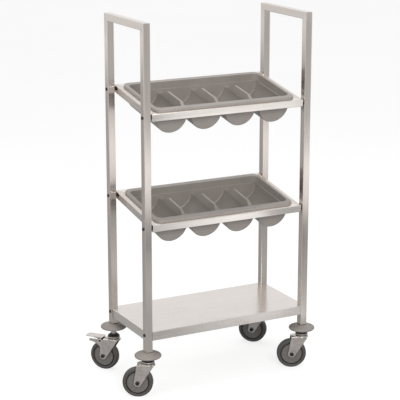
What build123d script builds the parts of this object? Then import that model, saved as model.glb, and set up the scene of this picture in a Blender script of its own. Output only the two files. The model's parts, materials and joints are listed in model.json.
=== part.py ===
"""Cutlery cart: a square-tube frame on four swivel casters, with a flat bottom shelf and two
forward-tilted shelf frames, each of which holds a lift-out box of four cutlery troughs.

Millimetres. X runs along the cart, -Y is its front, Z is up and the wheels stand on Z = 0.
"""

import os
from math import cos, radians, sin, sqrt, tan

from build123d import *

# Frame
post_spacing_x = 605
post_spacing_y = 280
cart_height = 1268
tube = 25
tube_wall = 1.5
tube_corner = 2

# Tilted shelf frames
upper_shelf_front_top = 971
lower_shelf_front_top = 599.5
shelf_tilt = 10.2
spacer_thickness = 5
spacer_radius = 7

# Bottom shelf
bottom_shelf_top = 231
sheet = 1.5
sheet_bend_radius = 1.2
flange_depth = 31
side_flange_setback = 4.5
notch_gap = 0.5
pan_bolt_drop = 12

# Bolts and nuts
bolt_radius = 3
bolt_hole_clearance = 0.2
bolt_head_radius = 5.5
bolt_head_height = 3
bolt_head_round = 1.8
bolt_socket_radius = 2.1
bolt_socket_depth = 1.8
nut_across_flats = 10
nut_height = 5
nut_clearance = 0.1
bolt_past_nut = 1

# Cutlery boxes
box_side_seat = 5
box_front_seat = 11.5
box_rear_seat = 8.5
box_corner = 28
box_wall = 2.5
rim_height = 7.5
rim_roll = 4.5
side_rim = 13
end_rim = 22
cavity_corner = 21
ledge_below_rim = 25.5
ledge_step = 4
trough_count = 4
trough_margin = 2.25
trough_land = 18.5
trough_centre_below_shelf = 28
trough_end_round = 4
ridge_below_shelf = 3
ridge_width = 8
ridge_edge_round = 1.5
ridge_length = 92
ridge_bevel = 28

# Wheels
wheel_radius = 52
tyre_width = 26
tyre_depth = 11
tyre_lip = 1
tread_width = 12
tread_round_drop = 1.3
tread_round_out = 0.8
groove_width = 4.8
groove_depth = 4
groove_draft = 0.3
hub_width = 24
hub_rim = 1.2
hub_ring_width = 2
hub_rib_count = 10
hub_rib_width = 2
hub_rib_height = 0.8
hub_rib_overlap = 0.5
hub_dish = 1.5
boss_radius = 10
boss_chamfer = 1
axle_radius = 4
axle_head_flats = 13
axle_head_height = 4.5

# Forks
trail = 35
fork_gap = 33
fork_sheet = 2.5
fork_end_radius = 13
fork_bend = 2.5
crown_clearance = 12
crown_sheet = 3
crown_radius = 24.5
crown_front = 20
crown_back = 37
braked_crown_back = 33
crown_swell_radius = 16
crown_swell_edge = 1.5
cup_radius = 22
cup_wall = 2.2
cup_height = 3.5

# Swivel heads, bumpers and stems
stem_radius = 6
kingpin_head_radius = 10
kingpin_head_height = 3
kingpin_head_round = 1.2
seal_height = 6.5
race_radius = 22
race_height = 4
ring_round = 0.8
cap_height = 10
cap_skirt = 4
cap_collar = 1.5
cap_radius = 20.5
cap_top_radius = 13.5
neck_step = 2.8
front_neck = 0.5
rear_neck = 16.5
bumper_radius = 45.5
bumper_height = 21
bumper_seat_margin = 2.15
bumper_rim_height = 9
bumper_edge = 5
bumper_edge_inset = 3
bumper_shoulder_radius = 33
bumper_shoulder_height = 17.6
running_gap = 0.3
running_fit = 0.1
plug_height = 19
plug_flange = 1
plug_flange_inset = 0.5
plug_clearance = 0.2
stem_in_plug = 16
stem_chamfer = 1

# Brake pedals of the two rear casters
pedal_tip = 104
pedal_front = 38
pedal_width = 34
pedal_sheet = 2
pedal_gap = 6
pedal_tip_round = 9
pin_back = 46
pin_below_crown = 8
pin_radius = 2
pin_head_radius = 3.5
pin_head_height = 1.2
lug_inner = 12
lug_gap = 2
lug_radius = 3.5
ear_drop = 4
ear_end = 87
ear_depth = 9
ear_waist_back = 62
ear_waist_drop = 14.5
ear_root_back = 45
ear_root_drop = 28
ear_heel_inset = 0.5
shoe_back = 60
shoe_front = 51
shoe_width = 20
shoe_gap = 0.5

# Angle by which each wheel trails behind the cart's length, towards its back
swivel_angles = {"front_left": 31, "rear_left": 49, "front_right": 26, "rear_right": 43}

half_x = post_spacing_x / 2
half_y = post_spacing_y / 2
reach_y = half_y + tube / 2
post_inner_x = half_x - tube / 2
post_outer_x = half_x + tube / 2
shelf_half = post_inner_x - spacer_thickness
shelf_depth = post_spacing_y + tube
bolt_hole = bolt_radius + bolt_hole_clearance

corners = {
    "front_left": (-half_x, -half_y),
    "rear_left": (-half_x, half_y),
    "front_right": (half_x, -half_y),
    "rear_right": (half_x, half_y),
}
braked = ("rear_left", "rear_right")
shelf_fronts = {"upper": upper_shelf_front_top, "lower": lower_shelf_front_top}
pieces = {}


def shelf_bolt_height(front_top, y):
    """Height of the middle of a tilted rail where a bolt crosses it at depth y."""
    rise = (y + reach_y) * tan(radians(shelf_tilt))
    return front_top + rise - tube / 2 / cos(radians(shelf_tilt))


def neck(corner):
    """Visible length of stem between the swivel cap and the bumper."""
    return rear_neck if corner in braked else front_neck


# Levels of the stacked caster parts
crown_top = 2 * wheel_radius + crown_clearance
seat_bottom = crown_top - crown_sheet
seal_bottom = crown_top
race_bottom = seal_bottom + seal_height
cap_bottom = race_bottom + race_height + running_gap
cap_top = cap_bottom + cap_height
pan_bolt_height = bottom_shelf_top - pan_bolt_drop


def post_bottom(corner):
    """Height of a post's lower end, on its foot plug's flange."""
    return cap_top + neck(corner) + bumper_height + plug_flange


# Posts and top rails
for corner, (x, y) in corners.items():
    bottom = post_bottom(corner)
    front_side = 1 if y > 0 else -1
    bolt_heights = [shelf_bolt_height(top, y) for top in shelf_fronts.values()]
    with BuildPart() as post:
        with BuildSketch(Plane((x, y, bottom))):
            RectangleRounded(tube, tube, tube_corner)
            Rectangle(tube - 2 * tube_wall, tube - 2 * tube_wall, mode=Mode.SUBTRACT)
        extrude(amount=cart_height - bottom)
        mitre = Plane((x, y, cart_height - tube / 2), z_dir=(0, -front_side, 1))
        split(bisect_by=mitre, keep=Keep.BOTTOM)
        with BuildSketch(Plane.YZ.offset(x)):
            with Locations(*[(y, height) for height in bolt_heights + [pan_bolt_height]]):
                Circle(bolt_hole)
        extrude(amount=tube, both=True, mode=Mode.SUBTRACT)
    pieces[f"post_{corner}"] = post.part

for side, x in (("left", -half_x), ("right", half_x)):
    with BuildPart() as top_rail:
        with BuildSketch(Plane.XZ):
            with Locations((x, cart_height - tube / 2)):
                RectangleRounded(tube, tube, tube_corner)
                Rectangle(tube - 2 * tube_wall, tube - 2 * tube_wall, mode=Mode.SUBTRACT)
        extrude(amount=reach_y, both=True)
        for y in (-half_y, half_y):
            inward = 1 if y < 0 else -1
            mitre = Plane((x, y, cart_height - tube / 2), z_dir=(0, inward, 1))
            split(bisect_by=mitre, keep=Keep.TOP)
    pieces[f"top_rail_{side}"] = top_rail.part


# Tilted shelf frames: four mitred rails each
def shelf_plane(front_top):
    """Top plane of a tilted shelf: X along the cart, Y up the slope from the front edge."""
    slope = radians(shelf_tilt)
    return Plane((0, -reach_y, front_top), x_dir=(1, 0, 0), z_dir=(0, -sin(slope), cos(slope)))


def shelf_rail(top, start, along, inward, length):
    """A square tube from one outer corner of a shelf frame to the next, mitred at both ends."""
    along = Vector(*along, 0)
    inward = Vector(*inward, 0)
    start = Vector(*start, 0)
    axis_start = start + (inward - Vector(0, 0, 1)) * (tube / 2)
    world_along = top.from_local_coords(start + along) - top.from_local_coords(start)
    world_inward = top.from_local_coords(start + inward) - top.from_local_coords(start)
    with BuildPart() as rail:
        section = Plane(top.from_local_coords(axis_start), x_dir=world_inward, z_dir=world_along)
        with BuildSketch(section):
            RectangleRounded(tube, tube, tube_corner)
            Rectangle(tube - 2 * tube_wall, tube - 2 * tube_wall, mode=Mode.SUBTRACT)
        extrude(amount=length)
        first = Plane(top.from_local_coords(start), z_dir=world_along - world_inward)
        split(bisect_by=first, keep=Keep.TOP)
        end = top.from_local_coords(start + along * length)
        last = Plane(end, z_dir=-world_along - world_inward)
        split(bisect_by=last, keep=Keep.TOP)
    return rail.part


def drilled(rail, side, front_top):
    """A side rail with a bolt hole through its outer wall at each post."""
    with BuildPart() as drilled_rail:
        add(rail)
        with BuildSketch(Plane.YZ.offset(side * shelf_half)):
            for y in (-half_y, half_y):
                with Locations((y, shelf_bolt_height(front_top, y))):
                    Circle(bolt_hole)
        extrude(amount=tube / 2, both=True, mode=Mode.SUBTRACT)
    return drilled_rail.part


for shelf, front_top in shelf_fronts.items():
    top = shelf_plane(front_top)
    width = 2 * shelf_half
    front = shelf_rail(top, (-shelf_half, 0), (1, 0), (0, 1), width)
    right = shelf_rail(top, (shelf_half, 0), (0, 1), (-1, 0), shelf_depth)
    rear = shelf_rail(top, (shelf_half, shelf_depth), (-1, 0), (0, -1), width)
    left = shelf_rail(top, (-shelf_half, shelf_depth), (0, -1), (1, 0), shelf_depth)
    pieces[f"{shelf}_shelf_front_rail"] = front
    pieces[f"{shelf}_shelf_rear_rail"] = rear
    pieces[f"{shelf}_shelf_left_rail"] = drilled(left, -1, front_top)
    pieces[f"{shelf}_shelf_right_rail"] = drilled(right, 1, front_top)

# Bottom shelf: a folded sheet, notched round the posts
pan_half_x = post_outer_x - side_flange_setback
notch_y = half_y - tube / 2 - notch_gap
with BuildPart() as bottom_shelf:
    with BuildSketch(Plane.XY.offset(bottom_shelf_top)):
        Rectangle(2 * pan_half_x, 2 * notch_y)
        Rectangle(2 * post_inner_x, 2 * reach_y)
    extrude(amount=-flange_depth)
    with BuildSketch(Plane.XY.offset(bottom_shelf_top - sheet)):
        Rectangle(2 * (pan_half_x - sheet), 2 * (notch_y - sheet))
        Rectangle(2 * (post_inner_x - sheet), 2 * (reach_y - sheet))
    extrude(amount=-flange_depth, mode=Mode.SUBTRACT)
    outer_edges = bottom_shelf.edges().group_by(Axis.Z)[-1]
    fillet(outer_edges, sheet_bend_radius)
    with BuildSketch(Plane.YZ):
        for y in (-half_y, half_y):
            with Locations((y, pan_bolt_height)):
                Circle(bolt_hole)
    extrude(amount=post_outer_x, both=True, mode=Mode.SUBTRACT)
pieces["bottom_shelf"] = bottom_shelf.part


# Bolts, nuts and spacers
def bolt_group(heights, grip_end):
    """One bolt through a post at each height and corner, its head on the post's outer face."""
    with BuildPart() as bolts:
        for side in (-1, 1):
            for y in (-half_y, half_y):
                for height in heights(y):
                    spot = Plane((side * post_outer_x, y, height), z_dir=(side, 0, 0))
                    with BuildSketch(spot):
                        Circle(bolt_head_radius)
                    extrude(amount=bolt_head_height)
                    with BuildSketch(spot):
                        Circle(bolt_radius)
                    extrude(amount=-(post_outer_x - grip_end))
        rims = bolts.edges().filter_by(GeomType.CIRCLE)
        outer = [e for e in rims if abs(e.center().X) > post_outer_x + bolt_head_height / 2]
        fillet(outer, bolt_head_round)
        for side in (-1, 1):
            for y in (-half_y, half_y):
                for height in heights(y):
                    socket = Plane(
                        (side * (post_outer_x + bolt_head_height), y, height),
                        z_dir=(side, 0, 0),
                    )
                    with BuildSketch(socket):
                        RegularPolygon(bolt_socket_radius, 6)
                    extrude(amount=-bolt_socket_depth, mode=Mode.SUBTRACT)
    return bolts.part


def frame_bolt_heights(y):
    """Heights of the bolts through the post at depth y into the tilted shelves."""
    return [shelf_bolt_height(front_top, y) for front_top in shelf_fronts.values()]


def pan_bolt_heights(y):
    """Height of the bolt through a post into the bottom shelf."""
    return [pan_bolt_height]


rail_nut_face = shelf_half - tube_wall
pan_nut_face = post_inner_x - sheet
frame_grip = rail_nut_face - nut_height - bolt_past_nut
pan_grip = pan_nut_face - nut_height - bolt_past_nut
pieces["shelf_frame_bolts"] = bolt_group(frame_bolt_heights, frame_grip)
pieces["bottom_shelf_bolts"] = bolt_group(pan_bolt_heights, pan_grip)

with BuildPart() as nuts:
    for heights, face in ((frame_bolt_heights, rail_nut_face), (pan_bolt_heights, pan_nut_face)):
        for side in (-1, 1):
            for y in (-half_y, half_y):
                for height in heights(y):
                    with BuildSketch(Plane((side * face, y, height), z_dir=(-side, 0, 0))):
                        RegularPolygon(nut_across_flats / 2, 6, major_radius=False)
                        Circle(bolt_radius + nut_clearance, mode=Mode.SUBTRACT)
                    extrude(amount=nut_height)
pieces["shelf_nuts"] = nuts.part

with BuildPart() as spacers:
    for side in (-1, 1):
        for y in (-half_y, half_y):
            for height in frame_bolt_heights(y):
                with BuildSketch(Plane((side * shelf_half, y, height), z_dir=(side, 0, 0))):
                    Circle(spacer_radius)
                    Circle(bolt_hole, mode=Mode.SUBTRACT)
                extrude(amount=spacer_thickness)
pieces["shelf_spacers"] = spacers.part

# Cutlery box, with its origin in the middle of the shelf's top plane
box_length = 2 * (shelf_half - tube + box_side_seat)
box_width = shelf_depth - 2 * tube + box_front_seat + box_rear_seat
box_setback = tube - box_front_seat
cavity_length = box_length - 2 * side_rim
cavity_width = box_width - 2 * end_rim
body_length = cavity_length + 2 * box_wall
body_width = cavity_width + 2 * box_wall
ledge_top = rim_height - ledge_below_rim
pocket_length = cavity_length - 2 * trough_margin
trough_inner = (pocket_length - (trough_count - 1) * trough_land) / trough_count / 2
trough_radius = trough_inner + box_wall
trough_pitch = 2 * trough_inner + trough_land
trough_length = cavity_width - 2 * ledge_step
trough_axis = -trough_centre_below_shelf
trough_middles = [(i - (trough_count - 1) / 2) * trough_pitch for i in range(trough_count)]
land_middles = [(a + b) / 2 for a, b in zip(trough_middles, trough_middles[1:])]


def trough(radius, length, top):
    """A solid half-round bar along Y with eased ends, squared off up to a top height."""
    with BuildPart() as bar:
        with BuildSketch(Plane.XZ.offset(-length / 2)):
            with Locations((0, trough_axis)):
                Circle(radius)
            with Locations((0, trough_axis + radius)):
                Rectangle(2 * radius, 2 * radius, mode=Mode.SUBTRACT)
        extrude(amount=length)
        ends = bar.edges().filter_by(GeomType.CIRCLE)
        fillet(ends, trough_end_round)
        with BuildSketch(Plane.XY.offset(trough_axis)):
            Rectangle(2 * radius, length)
        extrude(amount=top - trough_axis)
    return bar.part


def divider(inset, edge_round):
    """A ridge along Y with a narrow flat top and bevelled ends, set in by inset."""
    crest = -ridge_below_shelf - inset
    crest_half = ridge_width / 2 - inset
    foot_half = trough_land / 2 - inset
    bevel_run = (crest - trough_axis) / tan(radians(ridge_bevel))
    half_foot = ridge_length / 2 + bevel_run
    with BuildPart() as ridge:
        with BuildSketch(Plane.XZ.offset(-half_foot)):
            with BuildLine():
                Polyline(
                    (-foot_half, trough_axis - box_wall),
                    (-foot_half, trough_axis),
                    (-crest_half, crest),
                    (crest_half, crest),
                    (foot_half, trough_axis),
                    (foot_half, trough_axis - box_wall),
                    (-foot_half, trough_axis - box_wall),
                )
            make_face()
        extrude(amount=2 * half_foot)
        for end in (-1, 1):
            bevel = Plane(
                (0, end * ridge_length / 2, crest),
                z_dir=(0, end * sin(radians(ridge_bevel)), cos(radians(ridge_bevel))),
            )
            split(bisect_by=bevel, keep=Keep.BOTTOM)
        if edge_round > 0:
            fillet(ridge.edges().filter_by(Axis.Y).group_by(Axis.Z)[-1], edge_round)
    return ridge.part


outer_trough = trough(trough_radius, trough_length + 2 * box_wall, ledge_top - box_wall)
inner_trough = trough(trough_inner, trough_length, trough_axis + box_wall)
outer_divider = divider(0, ridge_edge_round)
inner_divider = divider(box_wall, 0)

with BuildPart() as rim_hollow:
    with BuildSketch(Plane.XY):
        RectangleRounded(box_length - 2 * box_wall, box_width - 2 * box_wall, box_corner - box_wall)
    extrude(amount=rim_height - box_wall)
    fillet(rim_hollow.edges().group_by(Axis.Z)[-1], rim_roll - box_wall)

with BuildPart() as cutlery_box:
    with BuildSketch(Plane.XY):
        RectangleRounded(box_length, box_width, box_corner)
    extrude(amount=rim_height)
    fillet(cutlery_box.edges().group_by(Axis.Z)[-1], rim_roll)
    add(rim_hollow.part, mode=Mode.SUBTRACT)
    with BuildSketch(Plane.XY.offset(ledge_top - box_wall)):
        RectangleRounded(body_length, body_width, cavity_corner + box_wall)
    extrude(amount=ledge_below_rim)
    for middle in trough_middles:
        add(outer_trough.moved(Location((middle, 0, 0))))
    with BuildSketch(Plane.XY.offset(trough_axis - box_wall)):
        Rectangle(pocket_length - trough_radius, trough_length + 2 * box_wall)
    extrude(amount=box_wall + ledge_top - trough_axis)
    with BuildSketch(Plane.XY.offset(ledge_top)):
        RectangleRounded(cavity_length, cavity_width, cavity_corner)
    extrude(amount=ledge_below_rim, mode=Mode.SUBTRACT)
    with BuildSketch(Plane.XY.offset(trough_axis)):
        Rectangle(pocket_length, trough_length)
    extrude(amount=ledge_top - trough_axis, mode=Mode.SUBTRACT)
    for middle in trough_middles:
        add(inner_trough.moved(Location((middle, 0, 0))), mode=Mode.SUBTRACT)
    for middle in land_middles:
        add(outer_divider.moved(Location((middle, 0, 0))))
    for middle in land_middles:
        add(inner_divider.moved(Location((middle, 0, 0))), mode=Mode.SUBTRACT)

for shelf, front_top in shelf_fronts.items():
    top = shelf_plane(front_top)
    seat = Plane(
        top.from_local_coords((0, box_setback + box_width / 2, 0)),
        x_dir=(1, 0, 0),
        z_dir=top.z_dir,
    )
    pieces[f"{shelf}_cutlery_box"] = cutlery_box.part.moved(seat.location)

# Casters, each modelled with its stem on the Z axis and its wheel trailing towards -X
axle_height = wheel_radius
tyre_inner_radius = wheel_radius - tyre_depth
groove_inner_radius = tyre_inner_radius - groove_width
cheek_inner = fork_gap / 2
cheek_outer = cheek_inner + fork_sheet
boss_half = cheek_inner - running_gap
stem_bore = stem_radius + running_fit
seal_radius = cup_radius - cup_wall - running_gap
ear_top = crown_top - ear_drop
pin_height = crown_top - pin_below_crown
pin_spot = (-pin_back, pin_height)


def ring(outer, bottom, height):
    """A flat ring round the stem with eased outer edges."""
    with BuildPart() as made:
        with BuildSketch(Plane.XY.offset(bottom)):
            Circle(outer)
            Circle(stem_bore, mode=Mode.SUBTRACT)
        extrude(amount=height)
        rims = made.edges().filter_by(GeomType.CIRCLE).group_by(SortBy.RADIUS)[-1]
        fillet(rims, ring_round)
    return made.part


def ear_outline():
    """Rearward ear of a braked fork's cheek, down to the heel above the axle."""
    top_front = (-braked_crown_back, ear_top)
    tip = (-ear_end, ear_top - ear_depth)
    waist = (-ear_waist_back, ear_top - ear_waist_drop)
    root = (-ear_root_back, ear_top - ear_root_drop)
    heel = (-trail - fork_end_radius + ear_heel_inset, axle_height)
    with BuildLine() as outline:
        Polyline(top_front, (-ear_end, ear_top), tip)
        ThreePointArc(tip, waist, root)
        Polyline(root, heel, (-trail, axle_height), top_front)
    return outline.line


def fork(with_brake):
    """Folded sheet: a round-nosed crown between two cheeks that taper to the axle."""
    back = braked_crown_back if with_brake else crown_back
    with BuildPart() as made:
        for side in (-1, 1):
            with BuildSketch(Plane.XZ.offset(-side * cheek_inner)):
                with Locations((-trail, axle_height)):
                    Circle(fork_end_radius)
                with Locations(((crown_front - back) / 2, crown_top - crown_sheet / 2)):
                    Rectangle(crown_front + back, crown_sheet)
                make_hull()
            extrude(amount=-side * fork_sheet)
        with BuildSketch(Plane.XY.offset(seat_bottom)):
            Circle(crown_radius)
            with Locations((-back / 2, 0)):
                Rectangle(back, 2 * cheek_outer)
        extrude(amount=crown_sheet)
        long_edges = made.edges().filter_by(Axis.X).group_by(Axis.Z)[-1]
        bends = [e for e in long_edges if abs(e.center().Y) > cheek_inner]
        fillet(bends, fork_bend)
        if with_brake:
            for side in (-1, 1):
                with BuildSketch(Plane.XZ.offset(-side * cheek_inner)):
                    add(ear_outline())
                    make_face()
                extrude(amount=-side * fork_sheet)
        with BuildSketch(Plane.XZ):
            with Locations((-trail, axle_height)):
                Circle(axle_radius + running_fit)
            if with_brake:
                with Locations(pin_spot):
                    Circle(pin_radius + running_fit)
        extrude(amount=cheek_outer, both=True, mode=Mode.SUBTRACT)
        with BuildSketch(Plane.XY.offset(crown_top)):
            Circle(cup_radius)
            with Locations((crown_swell_radius + crown_swell_edge - back, 0)):
                Circle(crown_swell_radius)
            Circle(cup_radius - cup_wall, mode=Mode.SUBTRACT)
        extrude(amount=cup_height)
        with BuildSketch(Plane.XY.offset(seat_bottom)):
            Circle(stem_bore)
        extrude(amount=crown_sheet, mode=Mode.SUBTRACT)
    return made.part


def swivel_cap():
    """Tapered upper race housing, fixed round the stem above the swivelling races."""
    with BuildPart() as made:
        with BuildSketch(Plane.XZ):
            with BuildLine():
                Polyline(
                    (stem_bore, cap_bottom),
                    (cap_radius, cap_bottom),
                    (cap_radius, cap_bottom + cap_skirt),
                    (cap_top_radius, cap_top - cap_collar),
                    (cap_top_radius, cap_top),
                    (stem_bore, cap_top),
                    (stem_bore, cap_bottom),
                )
            make_face()
        revolve(axis=Axis.Z)
    return made.part


def bumper(corner):
    """Domed disc that keeps the cart off walls, clamped between the stem's neck and the post."""
    bottom = cap_top + neck(corner)
    top = bottom + bumper_height
    rim = bottom + bumper_rim_height
    seat_radius = (tube / 2 - tube_corner) * sqrt(2) + tube_corner + bumper_seat_margin
    with BuildPart() as made:
        with BuildSketch(Plane.XZ):
            with BuildLine():
                lower = (bumper_radius - bumper_edge, rim - bumper_edge)
                upper = (bumper_radius - bumper_edge_inset, rim + bumper_edge)
                shoulder = (bumper_shoulder_radius, bottom + bumper_shoulder_height)
                Polyline((stem_bore, bottom), (seat_radius, bottom), lower)
                ThreePointArc(lower, (bumper_radius, rim), upper)
                ThreePointArc(upper, shoulder, (seat_radius, top))
                Polyline((seat_radius, top), (stem_bore, top), (stem_bore, bottom))
            make_face()
        revolve(axis=Axis.Z)
    return made.part


def stem(corner):
    """Kingpin and threaded stem, riveted under the crown and screwed into the foot plug."""
    post_end = post_bottom(corner)
    with BuildPart() as made:
        with BuildSketch(Plane.XY.offset(seat_bottom - running_gap)):
            Circle(kingpin_head_radius)
        extrude(amount=-kingpin_head_height)
        fillet(made.edges().group_by(Axis.Z)[0], kingpin_head_round)
        with BuildSketch(Plane.XY.offset(seat_bottom - running_gap)):
            Circle(stem_radius)
        extrude(amount=post_end + stem_in_plug - seat_bottom + running_gap)
        chamfer(made.edges().group_by(Axis.Z)[-1], stem_chamfer)
        with BuildSketch(Plane.XY.offset(cap_top)):
            Circle(stem_radius + neck_step)
        extrude(amount=neck(corner))
    return made.part


def foot_plug(corner):
    """Square plug that fills a post's lower end and takes the caster's stem."""
    post_end = post_bottom(corner)
    plug_side = tube - 2 * tube_wall - 2 * plug_clearance
    flange_side = tube - 2 * plug_flange_inset
    with BuildPart() as made:
        with BuildSketch(Plane.XY.offset(post_end)):
            Rectangle(plug_side, plug_side)
            Circle(stem_bore, mode=Mode.SUBTRACT)
        extrude(amount=plug_height)
        with BuildSketch(Plane.XY.offset(post_end)):
            RectangleRounded(flange_side, flange_side, tube_corner)
            Circle(stem_bore, mode=Mode.SUBTRACT)
        extrude(amount=-plug_flange)
    return made.part


def tyre():
    """Tread ring with rounded shoulders, bonded to the hub's rim."""
    half = tyre_width / 2
    flat = tread_width / 2
    shoulder = (wheel_radius - tyre_depth / 2, half)
    middle = (wheel_radius - tread_round_drop, (flat + half) / 2 + tread_round_out)
    with BuildPart() as made:
        with BuildSketch(Plane.XY):
            with BuildLine():
                Polyline(
                    (tyre_inner_radius, 0),
                    (tyre_inner_radius, half - tyre_lip),
                    shoulder,
                )
                ThreePointArc(shoulder, middle, (wheel_radius, flat))
                Polyline((wheel_radius, flat), (wheel_radius, 0), (tyre_inner_radius, 0))
            make_face()
            mirror(about=Plane.XZ)
        revolve(axis=Axis.Y)
    return made.part


def hub():
    """Moulded wheel centre: rim, groove, ribbed disc and a boss that runs on the axle."""
    half = hub_width / 2
    groove_floor = half - groove_depth
    bore = axle_radius + running_fit
    ring_inner = groove_inner_radius - hub_ring_width
    with BuildPart() as made:
        with BuildSketch(Plane.XY):
            with BuildLine():
                Polyline(
                    (bore, 0),
                    (bore, boss_half),
                    (boss_radius - boss_chamfer, boss_half),
                    (boss_radius, half - hub_dish),
                    (ring_inner, half - hub_dish),
                    (ring_inner, half),
                    (groove_inner_radius, half),
                    (groove_inner_radius + groove_draft, groove_floor),
                    (tyre_inner_radius - hub_rim - groove_draft, groove_floor),
                    (tyre_inner_radius - hub_rim, half),
                    (tyre_inner_radius, half),
                    (tyre_inner_radius, 0),
                    (bore, 0),
                )
            make_face()
            mirror(about=Plane.XZ)
        revolve(axis=Axis.Y)
        rib_start = boss_radius - hub_rib_overlap
        rib_end = ring_inner + hub_rib_overlap
        for side in (-1, 1):
            with BuildSketch(Plane.XZ.offset(side * (half - hub_dish))):
                with PolarLocations((rib_start + rib_end) / 2, hub_rib_count):
                    Rectangle(rib_end - rib_start, hub_rib_width)
            extrude(amount=side * hub_rib_height)
    return made.part


def axle():
    """Hexagon bolt through the cheeks and hub, with its nut on the far cheek."""
    with BuildPart() as made:
        with BuildSketch(Plane.XZ.offset(-cheek_outer - axle_head_height)):
            Circle(axle_radius)
        extrude(amount=2 * cheek_outer + axle_head_height)
        for side in (-1, 1):
            with BuildSketch(Plane.XZ.offset(side * cheek_outer)):
                RegularPolygon(axle_head_flats / 2, 6, major_radius=False)
            extrude(amount=side * axle_head_height)
    return made.part


def pedal():
    """Stamped brake pedal with two lugs on its pin and a shoe that meets the tread."""
    plate_bottom = ear_top + pedal_gap
    length = pedal_tip - pedal_front
    lug_sheet = cheek_inner - lug_inner - lug_gap
    with BuildPart() as made:
        with BuildSketch(Plane.XY.offset(plate_bottom)):
            with Locations((-pedal_front - length / 2, 0)):
                Rectangle(length, pedal_width)
        extrude(amount=pedal_sheet)
        tip_corners = made.edges().filter_by(Axis.Z).group_by(Axis.X)[0]
        fillet(tip_corners, pedal_tip_round)
        for side in (-1, 1):
            with BuildSketch(Plane.XZ.offset(side * lug_inner)):
                with Locations(pin_spot):
                    Circle(lug_radius)
                with Locations((-pin_back, (pin_height + plate_bottom) / 2)):
                    Rectangle(2 * lug_radius, plate_bottom - pin_height)
                with Locations(pin_spot):
                    Circle(pin_radius + running_fit, mode=Mode.SUBTRACT)
            extrude(amount=side * lug_sheet)
        with BuildSketch(Plane.XZ):
            with Locations((-(shoe_back + shoe_front) / 2, (plate_bottom + axle_height) / 2)):
                Rectangle(shoe_back - shoe_front, plate_bottom - axle_height)
            with Locations((-trail, axle_height)):
                Circle(wheel_radius + shoe_gap, mode=Mode.SUBTRACT)
        extrude(amount=shoe_width / 2, both=True)
    return made.part


def pin():
    """Headed pin that carries a brake pedal between the fork's cheeks."""
    with BuildPart() as made:
        with BuildSketch(Plane.XZ):
            with Locations(pin_spot):
                Circle(pin_radius)
        extrude(amount=cheek_outer, both=True)
        for side in (-1, 1):
            with BuildSketch(Plane.XZ.offset(side * cheek_outer)):
                with Locations(pin_spot):
                    Circle(pin_head_radius)
            extrude(amount=side * pin_head_height)
    return made.part


wheel_centre = Location((-trail, 0, axle_height))
tyre_part = tyre().moved(wheel_centre)
hub_part = hub().moved(wheel_centre)
axle_part = axle().moved(wheel_centre)
seal_part = ring(seal_radius, seal_bottom, seal_height)
race_part = ring(race_radius, race_bottom, race_height)
cap_part = swivel_cap()
stems = []
plugs = []

for corner, (x, y) in corners.items():
    angle = radians(swivel_angles[corner])
    place = Plane((x, y, 0), x_dir=(cos(angle), -sin(angle), 0), z_dir=(0, 0, 1)).location
    upright = Location((x, y, 0))
    with_brake = corner in braked
    pieces[f"bumper_{corner}"] = bumper(corner).moved(upright)
    pieces[f"swivel_cap_{corner}"] = cap_part.moved(upright)
    pieces[f"race_ring_{corner}"] = race_part.moved(upright)
    pieces[f"dust_seal_{corner}"] = seal_part.moved(upright)
    pieces[f"fork_{corner}"] = fork(with_brake).moved(place)
    pieces[f"axle_{corner}"] = axle_part.moved(place)
    pieces[f"hub_{corner}"] = hub_part.moved(place)
    pieces[f"tyre_{corner}"] = tyre_part.moved(place)
    if with_brake:
        pieces[f"brake_pedal_{corner}"] = pedal().moved(place)
        pieces[f"brake_pin_{corner}"] = pin().moved(place)
    stems.append(stem(corner).moved(upright))
    plugs.append(foot_plug(corner).moved(upright))

pieces["caster_stems"] = Compound(stems)
pieces["foot_plugs"] = Compound(plugs)

# Everything is written with the middle of the whole cart's footprint at the origin
whole = Compound(pieces.values()).bounding_box()
middle = whole.center()
os.makedirs("parts", exist_ok=True)
for name, piece in pieces.items():
    placed = piece.moved(Location((-middle.X, -middle.Y, 0)))
    placed.label = name
    export_step(placed, f"parts/{name}.step")
print("pieces", len(pieces), "size", whole.size, "shift", -middle.X, -middle.Y)
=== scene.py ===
import json
import math

import bpy
from mathutils import Matrix, Vector


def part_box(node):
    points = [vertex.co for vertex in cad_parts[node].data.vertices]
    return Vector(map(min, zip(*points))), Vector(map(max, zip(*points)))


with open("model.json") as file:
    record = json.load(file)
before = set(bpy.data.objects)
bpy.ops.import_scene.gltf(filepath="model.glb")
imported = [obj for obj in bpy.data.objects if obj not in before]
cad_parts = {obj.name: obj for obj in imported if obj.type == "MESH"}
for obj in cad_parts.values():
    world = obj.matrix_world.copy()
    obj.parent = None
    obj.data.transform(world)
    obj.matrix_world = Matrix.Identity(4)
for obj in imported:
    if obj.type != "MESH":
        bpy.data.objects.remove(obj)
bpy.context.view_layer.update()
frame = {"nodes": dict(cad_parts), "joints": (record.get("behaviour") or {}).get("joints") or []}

nodes = frame["nodes"]
scene = bpy.context.scene
corners = ("front_left", "rear_left", "front_right", "rear_right")
joints = {joint["name"]: joint for joint in frame["joints"]}


# Camera: three-quarter view from the front left, a little above the cart
IMAGE = 400
AZIMUTH = math.radians(27.6208)
PITCH = math.radians(14.6319)
ROLL = math.radians(0.0029)
DISTANCE = 4.998
FOCAL_PX = 1448.02
AIM = Vector((-0.01492, -0.02022, 0.62183))

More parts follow.
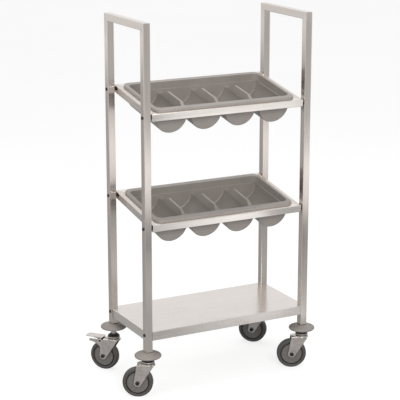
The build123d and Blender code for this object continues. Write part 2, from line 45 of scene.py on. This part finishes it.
back = Vector(
    (
        -math.sin(AZIMUTH) * math.cos(PITCH),
        -math.cos(AZIMUTH) * math.cos(PITCH),
        math.sin(PITCH),
    )
)
across = Vector((math.cos(AZIMUTH), -math.sin(AZIMUTH), 0))
upward = back.cross(across)
right = across * math.cos(ROLL) + upward * math.sin(ROLL)
upright = back.cross(right)
camera_data = bpy.data.cameras.new("camera")
camera_data.sensor_width = 36
camera_data.lens = FOCAL_PX / IMAGE * 36
camera_data.clip_end = 100
camera = bpy.data.objects.new("camera", camera_data)
scene.collection.objects.link(camera)
turn = Matrix((right, upright, back)).transposed()
camera.matrix_world = Matrix.Translation(AIM + back * DISTANCE) @ turn.to_4x4()
scene.camera = camera


# Materials
class Shader:
    """A node material under construction, with short helpers for its common nodes."""

    def __init__(self, name):
        self.material = bpy.data.materials.new(name)
        self.material.use_nodes = True
        self.tree = self.material.node_tree
        self.bsdf = self.tree.nodes["Principled BSDF"]
        self.coords = self.tree.nodes.new("ShaderNodeTexCoord").outputs["Object"]

    def node(self, kind, **settings):
        made = self.tree.nodes.new(kind)
        for key, value in settings.items():
            setattr(made, key, value)
        return made

    def link(self, source, target):
        self.tree.links.new(source, target)

    def put(self, socket, value):
        if isinstance(value, bpy.types.NodeSocket):
            self.link(value, socket)
        else:
            socket.default_value = value

    def mapped(self, scale, turn=(0, 0, 0), move=(0, 0, 0), coords=None):
        made = self.node("ShaderNodeMapping")
        self.link(coords or self.coords, made.inputs["Vector"])
        made.inputs["Location"].default_value = move
        made.inputs["Rotation"].default_value = turn
        made.inputs["Scale"].default_value = scale
        return made.outputs["Vector"]

    def noise(self, coords, scale=1.0, detail=3.0, roughness=0.5, distortion=0.0):
        made = self.node("ShaderNodeTexNoise")
        self.link(coords, made.inputs["Vector"])
        made.inputs["Scale"].default_value = scale
        made.inputs["Detail"].default_value = detail
        made.inputs["Roughness"].default_value = roughness
        made.inputs["Distortion"].default_value = distortion
        return made.outputs["Fac"]

    def ramp(self, value, low, high, to_low=0.0, to_high=1.0):
        made = self.node("ShaderNodeMapRange")
        self.link(value, made.inputs["Value"])
        made.inputs["From Min"].default_value = low
        made.inputs["From Max"].default_value = high
        made.inputs["To Min"].default_value = to_low
        made.inputs["To Max"].default_value = to_high
        return made.outputs["Result"]

    def math(self, operation, a, b=0.0):
        made = self.node("ShaderNodeMath", operation=operation)
        self.put(made.inputs[0], a)
        self.put(made.inputs[1], b)
        return made.outputs["Value"]

    def mix(self, factor, a, b):
        made = self.node("ShaderNodeMix", data_type="RGBA")
        self.put(made.inputs["Factor"], factor)
        self.put(made.inputs["A"], (*a, 1) if isinstance(a, tuple) else a)
        self.put(made.inputs["B"], (*b, 1) if isinstance(b, tuple) else b)
        return made.outputs["Result"]

    def bump(self, height, strength, distance, normal=None):
        made = self.node("ShaderNodeBump")
        made.inputs["Strength"].default_value = strength
        made.inputs["Distance"].default_value = distance
        self.link(height, made.inputs["Height"])
        if normal is not None:
            self.link(normal, made.inputs["Normal"])
        return made.outputs["Normal"]

    def edges(self, radius):
        """1 on flat faces, lower near sharp edges, with the eased normal that goes with it."""
        eased = self.node("ShaderNodeBevel", samples=6)
        eased.inputs["Radius"].default_value = radius
        geometry = self.node("ShaderNodeNewGeometry")
        dot = self.node("ShaderNodeVectorMath", operation="DOT_PRODUCT")
        self.link(eased.outputs["Normal"], dot.inputs[0])
        self.link(geometry.outputs["Normal"], dot.inputs[1])
        return dot.outputs["Value"], eased.outputs["Normal"]

    def grain_across(self, axis):
        """Spreads reflections across a grain that runs along the given axis."""
        tangent = self.node("ShaderNodeTangent", direction_type="RADIAL", axis=axis)
        self.link(tangent.outputs["Tangent"], self.bsdf.inputs["Tangent"])

    def wheel_radius(self, corner):
        """Distance from the axle of one wheel."""
        low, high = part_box(f"tyre_{corner}")
        centre = (Vector(low) + Vector(high)) / 2
        axis = Vector(joints[f"wheel_roll_{corner}"]["axis"])
        angle = math.atan2(axis.x, axis.y)
        move = Matrix.Rotation(angle, 3, "Z") @ -centre
        local = self.mapped((1, 1, 1), turn=(0, 0, angle), move=move)
        sideways = self.node("ShaderNodeVectorMath", operation="MULTIPLY")
        self.link(local, sideways.inputs[0])
        sideways.inputs[1].default_value = (1, 0, 1)
        length = self.node("ShaderNodeVectorMath", operation="LENGTH")
        self.link(sideways.outputs["Vector"], length.inputs[0])
        return length.outputs["Value"]

    def finish(self, color=None, roughness=None, normal=None, **values):
        if color is not None:
            value = (*color, 1) if isinstance(color, tuple) else color
            self.put(self.bsdf.inputs["Base Color"], value)
        if roughness is not None:
            self.put(self.bsdf.inputs["Roughness"], roughness)
        if normal is not None:
            self.put(self.bsdf.inputs["Normal"], normal)
        for key, value in values.items():
            self.bsdf.inputs[key.replace("_", " ")].default_value = value
        return self.material


def brushed_steel(name, along, tone=(0.66, 0.605, 0.565), rough=0.2):
    """Satin stainless tube: fine grain along one axis, faint smudges, softened bright edges."""
    shader = Shader(name)
    fine_scale = [1400, 1400, 1400]
    fine_scale[along] = 9
    broad_scale = [140, 140, 140]
    broad_scale[along] = 1.6
    fine = shader.noise(shader.mapped(fine_scale), detail=2)
    broad = shader.noise(shader.mapped(broad_scale), detail=3)
    smudge = shader.noise(shader.coords, scale=9, detail=5, roughness=0.6, distortion=0.4)
    _, eased = shader.edges(0.0009)
    grain = shader.math("ADD", shader.math("MULTIPLY", fine, 0.55), shader.math("MULTIPLY", broad, 0.45))
    darker = tuple(c * 0.93 for c in tone)
    lighter = tuple(min(c * 1.06, 1) for c in tone)
    color = shader.mix(shader.ramp(grain, 0.35, 0.65), darker, lighter)
    roughness = shader.math(
        "ADD",
        shader.ramp(smudge, 0.35, 0.68, rough - 0.03, rough + 0.04),
        shader.ramp(grain, 0.3, 0.7, -0.025, 0.025),
    )
    normal = shader.bump(grain, 0.06, 0.0002, eased)
    shader.grain_across("XYZ"[along])
    return shader.finish(color, roughness, normal, Metallic=1.0, Anisotropic=0.7)


def sheet_steel():
    """Bottom shelf: bright rolled sheet, smoother than the tubes, with long faint rolling marks."""
    shader = Shader("sheet_steel")
    fine = shader.noise(shader.mapped((5, 900, 900)), detail=2)
    wide = shader.noise(shader.mapped((0.9, 26, 26)), detail=4, roughness=0.6)
    smudge = shader.noise(shader.coords, scale=7, detail=6, roughness=0.62, distortion=0.6)
    _, eased = shader.edges(0.0011)
    grain = shader.math("ADD", shader.math("MULTIPLY", fine, 0.5), shader.math("MULTIPLY", wide, 0.5))
    color = shader.mix(shader.ramp(grain, 0.32, 0.68), (0.68, 0.64, 0.605), (0.75, 0.705, 0.67))
    roughness = shader.math(
        "ADD",
        shader.ramp(smudge, 0.3, 0.7, 0.2, 0.3),
        shader.ramp(fine, 0.3, 0.7, -0.02, 0.02),
    )
    normal = shader.bump(grain, 0.05, 0.0002, eased)
    shader.grain_across("X")
    return shader.finish(color, roughness, normal, Metallic=1.0, Anisotropic=0.6)


def pressed_steel(name, tone, rough):
    """Zinc-bright pressed parts of the casters: smooth, with slight orange peel and dull patches."""
    shader = Shader(name)
    peel = shader.noise(shader.coords, scale=420, detail=2)
    patch = shader.noise(shader.coords, scale=55, detail=5, roughness=0.6)
    flat, eased = shader.edges(0.0008)
    # Painted highlight: the colour is lighter along the edges.
    painted_edge_highlight = shader.ramp(flat, 0.995, 0.93)
    darker = tuple(c * 0.9 for c in tone)
    lighter = tuple(min(1, c * 1.06) for c in tone)
    color = shader.mix(shader.ramp(patch, 0.36, 0.66), darker, lighter)
    color = shader.mix(shader.math("MULTIPLY", painted_edge_highlight, 0.6), color, tuple(min(1, c * 1.25) for c in tone))
    roughness = shader.ramp(patch, 0.3, 0.7, rough - 0.05, rough + 0.08)
    normal = shader.bump(peel, 0.08, 0.0003, eased)
    return shader.finish(color, roughness, normal, Metallic=1.0)


def moulded_plastic(name, tone, rough, grain=0.12, ease=0.0012, edge_highlight_gain=1.5):
    """Moulded plastic: fine spark texture, cloudy tint and slightly polished edges, lighter by a painted
    highlight.
    """
    shader = Shader(name)
    color, roughness, normal = moulded_surface(shader, tone, rough, grain, ease, edge_highlight_gain)
    return shader.finish(color, roughness, normal, Metallic=0.0)


def moulded_surface(shader, tone, rough, grain, ease, edge_highlight_gain):
    """Colour, roughness and normal of a moulded surface."""
    spark = shader.noise(shader.coords, scale=1500, detail=2, roughness=0.6)
    cloud = shader.noise(shader.coords, scale=14, detail=5, roughness=0.6)
    scuff = shader.noise(shader.mapped((90, 240, 240)), detail=4, roughness=0.7, distortion=0.8)
    flat, eased = shader.edges(ease)
    # Edge mask: lowers roughness as real polish and lightens the colour as a painted highlight.
    edge_polish_and_highlight = shader.ramp(flat, 0.995, 0.93)
    darker = tuple(c * 0.94 for c in tone)
    lighter = tuple(min(1, c * 1.06) for c in tone)
    color = shader.mix(shader.ramp(cloud, 0.33, 0.67), darker, lighter)
    # Painted highlight: edges mixed towards a paler copy of the tone.
    color = shader.mix(shader.math("MULTIPLY", edge_polish_and_highlight, 0.45), color, tuple(min(1, c * edge_highlight_gain) for c in tone))
    roughness = shader.math(
        "SUBTRACT",
        shader.ramp(scuff, 0.3, 0.7, rough - 0.05, rough + 0.07),
        shader.math("MULTIPLY", edge_polish_and_highlight, 0.12),
    )
    normal = shader.bump(spark, grain, 0.0003, eased)
    return color, roughness, normal


def wheel_hub(corner):
    """Dark grey wheel centre with the groove round it painted near-black as shade."""
    shader = Shader(f"hub_plastic_{corner}")
    color, roughness, normal = moulded_surface(shader, (0.165, 0.155, 0.145), 0.42, 0.12, 0.0008, 1.6)
    radius = shader.wheel_radius(corner)
    # Painted shade: the groove band between these radii is coloured near-black.
    inside = shader.ramp(radius, 0.0355, 0.0362)
    outside = shader.ramp(radius, 0.0408, 0.0400)
    color = shader.mix(shader.math("MULTIPLY", inside, outside), color, (0.012, 0.011, 0.010))
    return shader.finish(color, roughness, normal, Metallic=0.0)


def tyre_rubber(corner):
    """Grey rubber tyre: a faint moulding ring on its wall and a dustier, duller tread."""
    shader = Shader(f"tyre_rubber_{corner}")
    color, roughness, normal = moulded_surface(shader, (0.068, 0.063, 0.058), 0.5, 0.2, 0.0012, 1.5)
    radius = shader.wheel_radius(corner)
    ring = shader.math("ABSOLUTE", shader.math("SUBTRACT", radius, 0.0462))
    color = shader.mix(shader.ramp(ring, 0.0012, 0.0003, 0.0, 0.5), color, (0.12, 0.112, 0.104))
    dust = shader.noise(shader.coords, scale=38, detail=5, roughness=0.65)
    outer = shader.ramp(radius, 0.0495, 0.0515)
    tread = shader.math("MULTIPLY", outer, shader.ramp(dust, 0.35, 0.7, 0.1, 0.55))
    color = shader.mix(tread, color, (0.14, 0.132, 0.124))
    return shader.finish(color, roughness, normal, Metallic=0.0)


def dark_bolt():
    """Blackened bolts and spacers, with a painted highlight on their edges."""
    shader = Shader("dark_bolt")
    patch = shader.noise(shader.coords, scale=160, detail=4)
    flat, eased = shader.edges(0.0006)
    # Painted highlight: the colour is lighter along the edges.
    painted_edge_highlight = shader.ramp(flat, 0.99, 0.9, 0.0, 0.8)
    color = shader.mix(shader.ramp(patch, 0.35, 0.65), (0.022, 0.021, 0.020), (0.045, 0.043, 0.041))
    color = shader.mix(painted_edge_highlight, color, (0.14, 0.135, 0.13))
    roughness = shader.ramp(patch, 0.3, 0.7, 0.32, 0.5)
    normal = shader.bump(patch, 0.1, 0.0002, eased)
    return shader.finish(color, roughness, normal, Metallic=0.7)


steel = {
    "x": brushed_steel("tube_steel_x", 0, (0.80, 0.755, 0.715), 0.16),
    "y": brushed_steel("tube_steel_y", 1),
    "z": brushed_steel("tube_steel_z", 2),
}
sheet = sheet_steel()
fork_steel = pressed_steel("fork_steel", (0.62, 0.575, 0.54), 0.26)
plated = pressed_steel("plated_steel", (0.66, 0.62, 0.59), 0.24)
box_plastic = moulded_plastic("box_plastic", (0.315, 0.285, 0.262), 0.33, edge_highlight_gain=1.7)
bumper_plastic = moulded_plastic("bumper_grey", (0.30, 0.272, 0.25), 0.55)
black_plastic = moulded_plastic("black_plastic", (0.018, 0.017, 0.016), 0.42)
bolts = dark_bolt()


def dress(node, material):
    """Gives a carried-over node one material in all its slots."""
    mesh = nodes[node].data
    if not mesh.materials:
        mesh.materials.append(material)
    for index in range(len(mesh.materials)):
        mesh.materials[index] = material


for corner in corners:
    dress(f"post_{corner}", steel["z"])
    dress(f"bumper_{corner}", bumper_plastic)
    dress(f"swivel_cap_{corner}", black_plastic)
    dress(f"race_ring_{corner}", plated)
    dress(f"dust_seal_{corner}", black_plastic)
    dress(f"fork_{corner}", fork_steel)
    dress(f"axle_{corner}", bolts)
    dress(f"hub_{corner}", wheel_hub(corner))
    dress(f"tyre_{corner}", tyre_rubber(corner))
for side in ("left", "right"):
    dress(f"top_rail_{side}", steel["y"])
    dress(f"brake_pedal_rear_{side}", fork_steel)
    dress(f"brake_pin_rear_{side}", bolts)
for shelf in ("upper", "lower"):
    dress(f"{shelf}_shelf_front_rail", steel["x"])
    dress(f"{shelf}_shelf_rear_rail", steel["x"])
    dress(f"{shelf}_shelf_left_rail", steel["y"])
    dress(f"{shelf}_shelf_right_rail", steel["y"])
    dress(f"{shelf}_cutlery_box", box_plastic)
dress("bottom_shelf", sheet)
dress("shelf_frame_bolts", bolts)
dress("bottom_shelf_bolts", bolts)
dress("shelf_nuts", plated)
dress("shelf_spacers", bolts)
dress("caster_stems", plated)
dress("foot_plugs", black_plastic)


# Studio: pale floor, white surroundings, soft lamps and four cards that only reflections show
WORLD_LIGHT = 0.5
FLOOR_TONE = 0.45
FLOOR_SEEN = 0.7
FLOOR_MIRRORED = 0.06
FLOOR_MIRRORED_FAR = 0.6
FLOOR_HALF = 30


def background():
    """White surroundings for camera, glossy and transmission rays, dimmer as a source of light."""
    world = bpy.data.worlds.new("studio")
    scene.world = world
    world.use_nodes = True
    tree = world.node_tree
    tree.nodes.clear()
    out = tree.nodes.new("ShaderNodeOutputWorld")
    seen = tree.nodes.new("ShaderNodeBackground")
    light = tree.nodes.new("ShaderNodeBackground")
    mix = tree.nodes.new("ShaderNodeMixShader")
    path = tree.nodes.new("ShaderNodeLightPath")
    both = tree.nodes.new("ShaderNodeMath")
    both.operation = "MAXIMUM"
    three = tree.nodes.new("ShaderNodeMath")
    three.operation = "MAXIMUM"
    tree.links.new(path.outputs["Is Camera Ray"], both.inputs[0])
    tree.links.new(path.outputs["Is Glossy Ray"], both.inputs[1])
    tree.links.new(both.outputs["Value"], three.inputs[0])
    tree.links.new(path.outputs["Is Transmission Ray"], three.inputs[1])
    seen.inputs["Color"].default_value = (1, 1, 1, 1)
    seen.inputs["Strength"].default_value = 1.0
    light.inputs["Color"].default_value = (1, 1, 1, 1)
    light.inputs["Strength"].default_value = WORLD_LIGHT
    tree.links.new(three.outputs["Value"], mix.inputs["Fac"])
    tree.links.new(light.outputs["Background"], mix.inputs[1])
    tree.links.new(seen.outputs["Background"], mix.inputs[2])
    tree.links.new(mix.outputs["Shader"], out.inputs["Surface"])


def floor():
    """Pale floor, seen as white, that keeps the cart's shadow."""
    mesh = bpy.data.meshes.new("floor")
    signs = ((-1, -1), (1, -1), (1, 1), (-1, 1))
    mesh.from_pydata([(x * FLOOR_HALF, y * FLOOR_HALF, 0) for x, y in signs], [], [(0, 1, 2, 3)])
    made = bpy.data.objects.new("floor", mesh)
    scene.collection.objects.link(made)
    shader = Shader("floor_pale")
    cloud = shader.noise(shader.coords, scale=0.8, detail=4)
    low = (FLOOR_TONE - 0.01,) * 3
    high = (FLOOR_TONE + 0.01,) * 3
    shader.finish(shader.mix(shader.ramp(cloud, 0.3, 0.7), low, high), 0.9)
    shader.bsdf.inputs["Specular IOR Level"].default_value = 0.1
    path = shader.node("ShaderNodeLightPath")
    seen = shader.math("MAXIMUM", path.outputs["Is Camera Ray"], path.outputs["Is Transmission Ray"])
    seen = shader.math("MULTIPLY", seen, FLOOR_SEEN)
    far = shader.node("ShaderNodeVectorMath", operation="LENGTH")
    shader.link(shader.coords, far.inputs[0])
    share = shader.ramp(far.outputs["Value"], 3.4, 5.2, FLOOR_MIRRORED, FLOOR_MIRRORED_FAR)
    mirrored = shader.math("MULTIPLY", path.outputs["Is Glossy Ray"], share)
    shader.bsdf.inputs["Emission Color"].default_value = (1, 1, 1, 1)
    shader.link(shader.math("MAXIMUM", seen, mirrored), shader.bsdf.inputs["Emission Strength"])
    mesh.materials.append(shader.material)


def reflector(name, quad, bands_across, bands_up):
    """A card that only reflections show, its brightness the product of two sets of bands."""
    mesh = bpy.data.meshes.new(name)
    mesh.from_pydata(quad, [], [(0, 1, 2, 3)])
    card_map = mesh.uv_layers.new(name="card")
    for loop, spot in zip(card_map.data, ((0, 0), (1, 0), (1, 1), (0, 1))):
        loop.uv = spot
    made = bpy.data.objects.new(name, mesh)
    scene.collection.objects.link(made)
    material = bpy.data.materials.new(name)
    material.use_nodes = True
    tree = material.node_tree
    tree.nodes.clear()
    coords = tree.nodes.new("ShaderNodeTexCoord")
    parts = tree.nodes.new("ShaderNodeSeparateXYZ")
    product = tree.nodes.new("ShaderNodeMath")
    product.operation = "MULTIPLY"
    glow = tree.nodes.new("ShaderNodeEmission")
    out = tree.nodes.new("ShaderNodeOutputMaterial")
    tree.links.new(coords.outputs["UV"], parts.inputs["Vector"])
    for index, (axis, bands) in enumerate((("X", bands_across), ("Y", bands_up))):
        ramp = tree.nodes.new("ShaderNodeValToRGB")
        while len(ramp.color_ramp.elements) < len(bands):
            ramp.color_ramp.elements.new(0.5)
        for element, (position, value) in zip(ramp.color_ramp.elements, bands):
            element.position = position
            element.color = (value, value, value, 1)
        tree.links.new(parts.outputs[axis], ramp.inputs["Fac"])
        tree.links.new(ramp.outputs["Color"], product.inputs[index])
    tree.links.new(product.outputs["Value"], glow.inputs["Strength"])
    tree.links.new(glow.outputs["Emission"], out.inputs["Surface"])
    mesh.materials.append(material)
    made.visible_camera = False
    made.visible_diffuse = False
    made.visible_shadow = False
    made.visible_transmission = False
    made.visible_volume_scatter = False


def lamp(name, place, target, size, power):
    """A soft rectangular lamp aimed at a point."""
    data = bpy.data.lights.new(name, "AREA")
    data.shape = "RECTANGLE"
    data.size, data.size_y = size
    data.energy = power
    made = bpy.data.objects.new(name, data)
    scene.collection.objects.link(made)
    away = Vector(place) - Vector(target)
    made.matrix_world = Matrix.Translation(Vector(place)) @ away.to_track_quat("Z", "Y").to_matrix().to_4x4()


background()
floor()
lamp("key", (-0.9, -4.2, 2.6), (0, 0, 0.6), (2.2, 2.2), 110)
lamp("fill", (-3.2, -0.8, 1.8), (0, 0, 0.6), (2.0, 2.0), 22)
lamp("top", (0.2, 0.6, 3.6), (0, 0, 0.7), (2.4, 1.8), 26)
even = ((0.0, 1.0), (1.0, 1.0))
front_quad = [(-0.36, -2.10, 0), (1.94, -0.90, 0), (1.94, -0.90, 1.1), (-0.36, -2.10, 1.1)]
front_up = ((0.0, 0.36), (0.12, 0.38), (0.22, 1.05), (0.36, 1.3), (0.56, 0.62), (1.0, 0.55))
reflector("front_reflector", front_quad, even, front_up)
back_quad = [(-1.79, 0.87, 0), (-0.24, 1.68, 0), (-0.24, 1.68, 1.0), (-1.79, 0.87, 1.0)]
back_across = ((0.0, 0.42), (0.5, 0.44), (0.62, 0.56), (0.8, 0.46), (1.0, 0.40))
back_up = ((0.0, 0.9), (0.35, 1.0), (0.76, 1.05), (0.9, 1.8), (1.0, 2.1))
reflector("back_reflector", back_quad, back_across, back_up)
low_quad = [(-0.02, -0.62, 0.004), (0.62, -0.62, 0.004), (0.74, -1.14, 0.004), (0.10, -1.14, 0.004)]
low_across = ((0.0, 0.35), (0.25, 0.72), (0.5, 1.0), (0.8, 1.2), (1.0, 1.2))
reflector("low_reflector", low_quad, low_across, even)
high_quad = [(0.08, -0.66, 0.45), (0.74, -0.66, 0.45), (0.84, -0.96, 0.45), (0.18, -0.96, 0.45)]
high_across = ((0.0, 0.7), (0.18, 1.2), (0.4, 1.35), (0.7, 1.15), (1.0, 1.0))
reflector("high_reflector", high_quad, high_across, even)

scene.view_settings.view_transform = "Standard"
